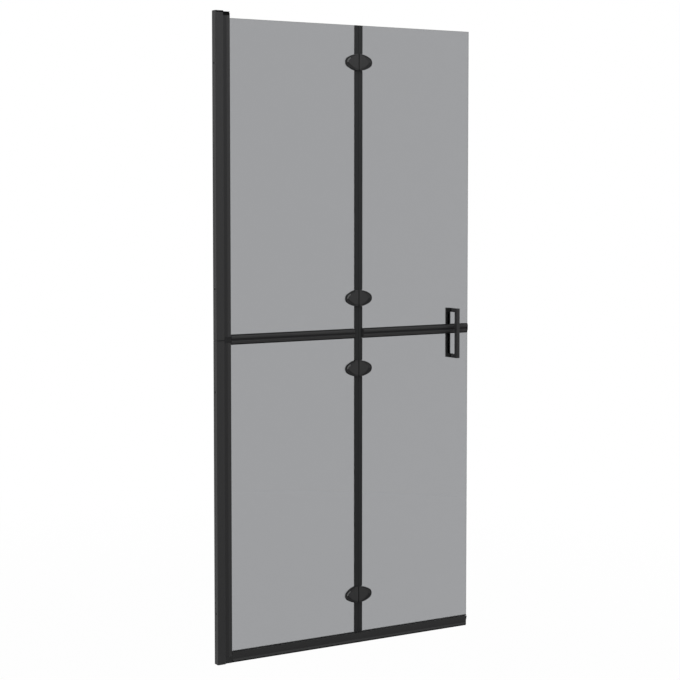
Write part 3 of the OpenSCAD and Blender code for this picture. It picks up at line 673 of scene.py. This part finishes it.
def along_rail(outlines, x0, x1):
    """A bar from x0 to x1 whose section is made of outlines in Y and Z that share edges."""
    bm = bmesh.new()
    for outline in outlines:
        bm.faces.new([bm.verts.new((x0, y, z)) for y, z in outline])
    bmesh.ops.remove_doubles(bm, verts=bm.verts, dist=WELD)
    for vert in extrude(bm, bm.faces[:]):
        vert.co.x = x1
    return bm


# The rail's finishes: powder coat, and the moulded and deep blacks as painted shade in its groove and on its flanges
RAIL_FINISHES = ("Powder coat", "Moulded caps", "Deep black")

# The face of the middle rail from top to bottom, a flange and a bead on each side of the groove: how far each
# point stands in from the full depth, and its height as a share of half the rail's height
UPPER_BEAD = ((0.0016, 1.0), (0.0016, 0.8), (0.0008, 0.76), (0.00025, 0.7), (0, 0.62), (0, 0.36), (0.0002, 0.29),
              (0.0008, 0.23), (0.0028, 0.2))
LOWER_BEAD = ((0.0028, -0.2), (0.0008, -0.23), (0.0002, -0.26), (0.0001, -0.32), (0.0006, -0.42), (0.0012, -0.52),
              (0.0019, -0.64), (0.0025, -0.75), (0.0029, -0.8), (0.0029, -1.0))
FLANGE = 0.79  # the flanges lie past this share
GROOVE = 0.21  # the floor of the groove lies within this share
GROOVE_MOUTH = 0.24  # the whole groove lies within this share


def rail_outline(sizes, z):
    """One face of the middle rail's section round z, from its top edge to its foot."""
    return [(sizes.depth / 2 - inset, z + share * sizes.height / 2) for inset, share in UPPER_BEAD + LOWER_BEAD]


def beaded_rail(sizes, x0, x1, z, end):
    """A middle rail from x0 to x1: two beads on each face, a slot above and below, slanted back at one end."""
    slot = sizes.slot
    web = sizes.web / 2
    port_steps = 12
    side = [(slot, z + sizes.height / 2)] + rail_outline(sizes, z)
    side += [(slot, z - sizes.height / 2), (slot, z - web), (slot, z), (slot, z + web)]
    turns = [math.pi * step / port_steps for step in range(port_steps + 1)]
    outlines = [side, [(-y, point) for y, point in side]]
    for up in (1, -1):
        outlines.append([(-slot, z), (-slot, z + up * web), (slot, z + up * web), (slot, z)]
                        + [(sizes.port * math.cos(turn), z + up * sizes.port * math.sin(turn)) for turn in turns])
    bm = along_rail(outlines, x0, x1)
    # Painted shade: the groove and the upper flange take the darker moulded black, and the lower flange takes the
    # deep black as painted shadow under the rail
    for face in bm.faces:
        share = (face.calc_center_median().z - z) / (sizes.height / 2)
        finish = "Powder coat"
        if share > FLANGE or abs(share) < GROOVE:
            finish = "Moulded caps"
        elif share < -FLANGE:
            finish = "Deep black"
        face.material_index = RAIL_FINISHES.index(finish)
    for vert in bm.verts:
        if abs(vert.co.x - end) < TOUCH:
            vert.co.x += math.copysign(max(0, abs(vert.co.y) - slot), x0 + x1 - 2 * end)
    return bm


def square_pull(sizes, low, high, bed):
    """A square bar with a post at each end that reaches back to the bed on the glass."""
    bm = bmesh.new()
    front = low.y if abs(low.y) > abs(high.y) else high.y
    inner = front - math.copysign(sizes.bar, front)
    bmesh.ops.create_cube(bm, size=1)
    bmesh.ops.scale(bm, vec=(sizes.bar, sizes.bar, high.z - low.z), verts=bm.verts)
    bmesh.ops.translate(bm, vec=((low.x + high.x) / 2, (front + inner) / 2, (low.z + high.z) / 2), verts=bm.verts)
    for z in (low.z + sizes.bar, high.z - sizes.bar):
        bmesh.ops.bisect_plane(bm, geom=everything(bm), plane_co=(0, 0, z), plane_no=(0, 0, 1))
    posts = [face for face in bm.faces if all(abs(vert.co.y - inner) < TOUCH for vert in face.verts)
             and not low.z + sizes.bar < face.calc_center_median().z < high.z - sizes.bar]
    for face in posts:
        for vert in extrude(bm, [face]):
            vert.co.y = bed
    bmesh.ops.recalc_face_normals(bm, faces=bm.faces)
    bmesh.ops.dissolve_limit(bm, angle_limit=0.01, verts=bm.verts, edges=bm.edges)
    bmesh.ops.bevel(bm, geom=bm.edges[:], offset=sizes.edge, segments=sizes.edge_steps, profile=0.5,
                    affect="EDGES", material=-1)
    return bm


def pull_pads(sizes, low, high):
    """The rubber under each post: a pad on both faces of the glass and a bush between them through the glass."""
    bm = bmesh.new()
    width = high.x - low.x
    x = (low.x + high.x) / 2
    posts = (low.z + width / 2, high.z - width / 2)
    for z in posts:
        for y in (low.y + sizes.pad / 2, high.y - sizes.pad / 2):
            pad = bmesh.ops.create_cube(bm, size=1)["verts"]
            bmesh.ops.scale(bm, vec=(width, sizes.pad, width), verts=pad)
            bmesh.ops.translate(bm, vec=(x, y, z), verts=pad)
    bmesh.ops.bevel(bm, geom=bm.edges[:], offset=sizes.pad / 4, segments=2, profile=0.5, affect="EDGES",
                    material=-1)
    for z in posts:
        bush = bmesh.ops.create_cone(bm, cap_ends=True, segments=48, radius1=sizes.bush_radius,
                                     radius2=sizes.bush_radius, depth=high.y - low.y - sizes.pad)["verts"]
        bmesh.ops.rotate(bm, matrix=Matrix.Rotation(math.radians(90), 3, "X"), verts=bush)
        bmesh.ops.translate(bm, vec=(x, (low.y + high.y) / 2, z), verts=bush)
    return bm


class SHOWER_OT_finishes(bpy.types.Operator):
    """Makes the finishes and gives each CAD node its own"""
    bl_idname = "shower.finishes"
    bl_label = "Finishes"

    def execute(self, context):
        colours = context.scene.screen_colours
        fine_grain_group()
        handling_group()
        for name, (colour, values) in SURFACES.items():
            surface_material(name, getattr(colours, colour), **values)
        clear_material("Smoked glass", colours.smoked_glass, ior=1.5)
        for slot, finish in SLOT_FINISHES.items():
            dress(slot_nodes(slot), finish)
        for finish, nodes in NODE_FINISHES.items():
            dress(nodes, finish)
        return {"FINISHED"}


class SHOWER_OT_hinge_covers(bpy.types.Operator):
    """Models the domed halves of the four oval hinge covers"""
    bl_idname = "shower.hinge_covers"
    bl_label = "Hinge covers"

    def execute(self, context):
        sizes = context.scene.cover_sizes
        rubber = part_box("folding_fold_seal")
        seal = Vector((rubber[1].x - FOLD, rubber[0].y, 0)) + Vector((sizes.seal_gap, -sizes.seal_gap, 0))
        for hinge in HINGES:
            for leaf, (body, side) in LEAVES.items():
                bm = domed_cover(sizes, COVER[0].y, COVER[1].y, seal)
                if leaf == "folding":  # the folding half gets no painted highlight on its slopes
                    for face in bm.faces:
                        if face.material_index == COVER_FINISHES.index("Machined edge"):
                            face.material_index = COVER_FINISHES.index("Powder coat")
                bmesh.ops.scale(bm, vec=(side, 1, 1), verts=bm.verts)
                bmesh.ops.translate(bm, vec=hinge_centre(hinge), verts=bm.verts)
                cover = make_piece(f"domed_cover_{hinge}_{leaf}", bm, COVER_FINISHES, body,
                                   [f"hinge_{hinge}_cover_{leaf}"])
                soften(cover, width=0.0003)
        return {"FINISHED"}


class SHOWER_OT_rails(bpy.types.Operator):
    """Models the two lengths of the middle rail and the cap on its free end"""
    bl_idname = "shower.rails"
    bl_label = "Rails"

    def execute(self, context):
        sizes = context.scene.rail_sizes
        for leaf, (body, side) in LEAVES.items():
            low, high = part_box(f"{leaf}_mid_rail")
            bm = beaded_rail(sizes, low.x, high.x, (low.z + high.z) / 2, high.x if side < 0 else low.x)
            rail = make_piece(f"beaded_rail_{leaf}", bm, RAIL_FINISHES, body, [f"{leaf}_mid_rail"])
            soften(rail, width=0.0002)
        free_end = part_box("mid_rail_end_cap")[1].x
        middle = (RAIL[0].z + RAIL[1].z) / 2
        edge = [(y, z) for y, z in rail_outline(sizes, middle) if abs(z - middle) > GROOVE_MOUTH * sizes.height / 2]
        edge += [(-y, z) for y, z in reversed(edge)]
        bm = along_rail([edge], free_end - sizes.cap, free_end)
        cap = make_piece("flat_end_cap", bm, ["Moulded caps"], "folding_leaf",
                         ["mid_rail_end_cap"])
        soften(cap, width=0.0003)
        return {"FINISHED"}


class SHOWER_OT_mouth_ridges(bpy.types.Operator):
    """Models the ridges along the mouth of the inner profile"""
    bl_idname = "shower.mouth_ridges"
    bl_label = "Mouth ridges"

    def execute(self, context):
        sizes = context.scene.trim_sizes
        # Each corner's way back from the mouth and its rise, as shares of the ridge's width and height
        section = ((1, 0), (1, 0.12), (0.87, 1), (0.8, 1.1), (0.7, 1.12), (0.02, 0.2), (0.02, 0))
        for length in ("lower", "upper"):
            low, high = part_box(f"inner_profile_{length}")
            bm = bmesh.new()
            for side in (-1, 1):
                outline = [(high.x - sizes.ridge_width * back, side * (high.y - SEAT + sizes.ridge_height * rise))
                           for back, rise in section]
                add_bar(bm, outline, low.z, high.z, axis=2)
            make_piece(f"mouth_ridge_{length}", bm, ["Powder coat"], "fixed_leaf")
        return {"FINISHED"}


class SHOWER_OT_channel_bands(bpy.types.Operator):
    """Models the dark lines on the wall channel, under its cap and over its seam"""
    bl_idname = "shower.channel_bands"
    bl_label = "Channel bands"

    def execute(self, context):
        sizes = context.scene.trim_sizes
        low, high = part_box("wall_channel_upper")
        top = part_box("channel_top_cap")[1].z
        start, inner, outer = low.x + sizes.band_start, high.y - SEAT, high.y + sizes.band_rise
        bm = bmesh.new()
        for foot, head in ((top - sizes.band_height, top), (low.z - sizes.seam_cover, low.z + sizes.seam_cover)):
            for side in (-1, 1):
                add_bar(bm, [(start, side * inner), (start, side * outer), (high.x, side * outer),
                             (high.x, side * inner)], foot, head, axis=2)
        make_piece("channel_bands", bm, ["Deep black"], "wall_channel")
        return {"FINISHED"}


class SHOWER_OT_threshold_ledges(bpy.types.Operator):
    """Models the narrow ledges along both sides of the threshold"""
    bl_idname = "shower.threshold_ledges"
    bl_label = "Threshold ledges"

    def execute(self, context):
        sizes = context.scene.trim_sizes
        low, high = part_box("threshold_rail")
        under = cad_box[0][2] + sizes.ledge_foot
        inner, outer = sizes.threshold_half - SEAT, sizes.threshold_half + sizes.ledge_out
        bm = bmesh.new()
        for side in (-1, 1):
            add_bar(bm, [(side * inner, under), (side * outer, under), (side * outer, under + sizes.ledge_edge),
                         (side * inner, under + sizes.ledge_height)], low.x, high.x)
        make_piece("threshold_ledges", bm, ["Powder coat"], "wall_channel")
        return {"FINISHED"}


class SHOWER_OT_seal_wing(bpy.types.Operator):
    """Models the wing of the fold seal on the folding leaf, in lengths between the hinges and the rail"""
    bl_idname = "shower.seal_wing"
    bl_label = "Seal wing"

    def execute(self, context):
        sizes = context.scene.seal_sizes
        shortest_span = 0.001
        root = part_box("folding_fold_seal")[1].x + FILM
        tip = root + sizes.wing
        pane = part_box("folding_glass_lower")
        stops = [RAIL] + [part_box(f"hinge_{hinge}_{part}_folding") for hinge in HINGES for part in ("cover", "leaf")]
        spans = [(pane[0].z + sizes.clearance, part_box("folding_glass_upper")[1].z)]
        for low, high in stops:
            under, over = low.z - sizes.clearance, high.z + sizes.clearance
            spans = [part for start, end in spans for part in ((start, min(end, under)), (max(start, over), end))
                     if part[1] - part[0] > shortest_span]
        bm = bmesh.new()
        for side in (-1, 1):
            glass = side * (pane[1].y + FILM)
            outline = [(root, glass), (root, glass + side * sizes.wing_root),
                       (tip, glass + side * sizes.wing_tip), (tip, glass)]
            for start, end in spans:
                add_bar(bm, outline, start, end, axis=2)
        make_piece("fold_seal_wing", bm, ["Seal rubber"], "folding_leaf")
        return {"FINISHED"}


class SHOWER_OT_lips(bpy.types.Operator):
    """Models the rubber lips between the panes and the threshold"""
    bl_idname = "shower.lips"
    bl_label = "Lips"

    def execute(self, context):
        splay = context.scene.seal_sizes.splay
        for leaf, (body, _) in LEAVES.items():
            low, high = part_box(f"{leaf}_bottom_lip")
            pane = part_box(f"{leaf}_glass_lower")
            outline = [(pane[0].y, pane[0].z), (pane[0].y - splay, low.z), (pane[1].y + splay, low.z),
                       (pane[1].y, pane[0].z)]
            make_piece(f"short_lip_{leaf}", along_rail([outline], low.x, high.x), ["Seal rubber"], body,
                       [f"{leaf}_bottom_lip"])
        return {"FINISHED"}


class SHOWER_OT_pulls(bpy.types.Operator):
    """Models the square pulls on both sides of the glass and the rubber under their posts"""
    bl_idname = "shower.pulls"
    bl_label = "Pulls"

    def execute(self, context):
        sizes = context.scene.pull_sizes
        for side in ("front", "back"):
            low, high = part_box(f"handle_{side}")
            bm = square_pull(sizes, low, high, high.y if side == "front" else low.y)
            make_piece(f"square_pull_{side}", bm, ["Powder coat"], "folding_leaf",
                       [f"handle_{side}"])
        bm = pull_pads(sizes, *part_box("handle_pads"))
        make_piece("pull_pads", bm, ["Seal rubber"], "folding_leaf", ["handle_pads"])
        return {"FINISHED"}


# Each lamp's place from the middle of the screen, its size, and its power in StudioSettings
LAMPS = {
    "key_lamp": ((-2.4, -3.0, 3.0), 2.4, "key_power"),
    "fill_lamp": ((3.2, -2.6, 1.2), 2.4, "fill_power"),
    "top_lamp": ((0, -0.6, 2.6), 1.6, "top_power"),
    "back_lamp": ((-0.8, 3.6, 1.6), 2.4, "fill_power"),
}


def soft_lamp(name, offset, target, size, power):
    """A square lamp that stands off from a target and shines at it, unseen in glass and metal."""
    light = bpy.data.lights.new(name, "AREA")
    light.size = size
    light.energy = power
    lamp = bpy.data.objects.new(name, light)
    lamp.location = target + Vector(offset)
    lamp.rotation_euler = (target - lamp.location).to_track_quat("-Z", "Y").to_euler()
    lamp.visible_glossy = False
    lamp.visible_transmission = False
    bpy.context.scene.collection.objects.link(lamp)


def seen_directly(tree):
    """A mask that is 1 for what the camera sees directly, in a reflection or through glass."""
    path = add_node(tree, "ShaderNodeLightPath").outputs
    either = add_node(tree, "ShaderNodeMath", operation="MAXIMUM")
    any_of = add_node(tree, "ShaderNodeMath", operation="MAXIMUM")
    join(tree,
         (path["Is Camera Ray"], either.inputs[0]),
         (path["Is Glossy Ray"], either.inputs[1]),
         (either.outputs["Value"], any_of.inputs[0]),
         (path["Is Transmission Ray"], any_of.inputs[1]))
    return any_of.outputs["Value"]


def studio_world(ambient):
    """A white surround that lights the object at a plain level."""
    world = bpy.data.worlds.new("Studio")
    world.use_nodes = True
    tree = world.node_tree
    tree.nodes.clear()
    light = add_node(tree, "ShaderNodeBackground", {"Color": (1, 1, 1, 1), "Strength": ambient})
    white = add_node(tree, "ShaderNodeBackground", {"Color": (1, 1, 1, 1)})
    mix = add_node(tree, "ShaderNodeMixShader")
    result = add_node(tree, "ShaderNodeOutputWorld")
    join(tree,
         (seen_directly(tree), mix.inputs[0]),
         (light.outputs["Background"], mix.inputs[1]),
         (white.outputs["Background"], mix.inputs[2]),
         (mix.outputs["Shader"], result.inputs["Surface"]))
    return world


def floor_material(colour, settings):
    """A pale floor that keeps a faint shadow near the object and runs out to white."""
    material, shader = new_material("Studio floor", {"Base Color": (*colour, 1), "Roughness": 0.9,
                                                     "Specular IOR Level": 0.1})
    tree = material.node_tree
    place = add_node(tree, "ShaderNodeTexCoord")
    distance = add_node(tree, "ShaderNodeVectorMath", operation="LENGTH")
    share = add_node(tree, "ShaderNodeMapRange", {"From Min": settings.shadow_reach, "From Max": settings.white_reach,
                                                  "To Min": settings.whiteness, "To Max": 1})
    share.interpolation_type = "SMOOTHSTEP"
    seen = add_node(tree, "ShaderNodeMath", operation="MULTIPLY")
    white = add_node(tree, "ShaderNodeEmission", {"Color": (1, 1, 1, 1)})
    mix = add_node(tree, "ShaderNodeMixShader")
    join(tree,
         (place.outputs["Object"], distance.inputs[0]),
         (distance.outputs["Value"], share.inputs["Value"]),
         (share.outputs["Result"], seen.inputs[0]),
         (seen_directly(tree), seen.inputs[1]),
         (seen.outputs["Value"], mix.inputs[0]),
         (shader.outputs["BSDF"], mix.inputs[1]),
         (white.outputs["Emission"], mix.inputs[2]),
         (mix.outputs["Shader"], tree.nodes["Material Output"].inputs["Surface"]))
    return material


def studio_floor(middle, material):
    """A wide floor just below the object."""
    half_side, gap = 40, 0.0005
    bm = bmesh.new()
    bmesh.ops.create_grid(bm, x_segments=1, y_segments=1, size=half_side)
    bmesh.ops.translate(bm, vec=(middle.x, middle.y, cad_box[0][2] - gap), verts=bm.verts)
    mesh = bpy.data.meshes.new("studio_floor")
    bm.to_mesh(mesh)
    bm.free()
    mesh.materials.append(material)
    floor = bpy.data.objects.new("studio_floor", mesh)
    bpy.context.scene.collection.objects.link(floor)


def photo_camera(settings):
    """A camera in the place from which the photograph was taken."""
    lens = bpy.data.cameras.new("photo_camera")
    lens.lens = settings.focal_length
    lens.shift_y = settings.rise
    camera = bpy.data.objects.new("photo_camera", lens)
    camera.location = settings.camera_place
    camera.rotation_euler = (math.pi / 2 - settings.camera_pitch, 0, settings.camera_yaw)
    bpy.context.scene.collection.objects.link(camera)
    return camera


class SHOWER_OT_studio(bpy.types.Operator):
    """Sets up the floor, the soft lamps, the white surround and the camera"""
    bl_idname = "shower.studio"
    bl_label = "Studio"

    def execute(self, context):
        scene = context.scene
        settings = scene.studio_settings
        middle = (Vector(cad_box[0]) + Vector(cad_box[1])) / 2
        studio_floor(middle, floor_material(scene.screen_colours.floor, settings))
        for name, (offset, size, power) in LAMPS.items():
            soft_lamp(name, offset, middle, size, getattr(settings, power))
        scene.world = studio_world(settings.ambient)
        scene.camera = photo_camera(settings)
        scene.view_settings.view_transform = "Standard"
        return {"FINISHED"}


OPERATORS = (SHOWER_OT_finishes, SHOWER_OT_hinge_covers, SHOWER_OT_rails, SHOWER_OT_mouth_ridges,
             SHOWER_OT_channel_bands, SHOWER_OT_threshold_ledges, SHOWER_OT_seal_wing, SHOWER_OT_lips,
             SHOWER_OT_pulls, SHOWER_OT_studio)


class SHOWER_PT_sidebar(bpy.types.Panel):
    bl_label = "Shower Screen"
    bl_idname = "SHOWER_PT_sidebar"
    bl_space_type = "VIEW_3D"
    bl_region_type = "UI"
    bl_category = "Shower Screen"

    def draw(self, context):
        for operator in OPERATORS:
            self.layout.operator(operator.bl_idname)


def register():
    for group, attribute in GROUPS:
        bpy.utils.register_class(group)
        setattr(bpy.types.Scene, attribute, PointerProperty(type=group))
    for operator in OPERATORS:
        bpy.utils.register_class(operator)
    bpy.utils.register_class(SHOWER_PT_sidebar)


def unregister():
    bpy.utils.unregister_class(SHOWER_PT_sidebar)
    for operator in reversed(OPERATORS):
        bpy.utils.unregister_class(operator)
    for group, attribute in reversed(GROUPS):
        delattr(bpy.types.Scene, attribute)
        bpy.utils.unregister_class(group)


def main():
    register()
    bpy.ops.shower.finishes()
    bpy.ops.shower.hinge_covers()
    bpy.ops.shower.rails()
    bpy.ops.shower.mouth_ridges()
    bpy.ops.shower.channel_bands()
    bpy.ops.shower.threshold_ledges()
    bpy.ops.shower.seal_wing()
    bpy.ops.shower.lips()
    bpy.ops.shower.pulls()
    bpy.ops.shower.studio()


if __name__ == "__main__":
    main()
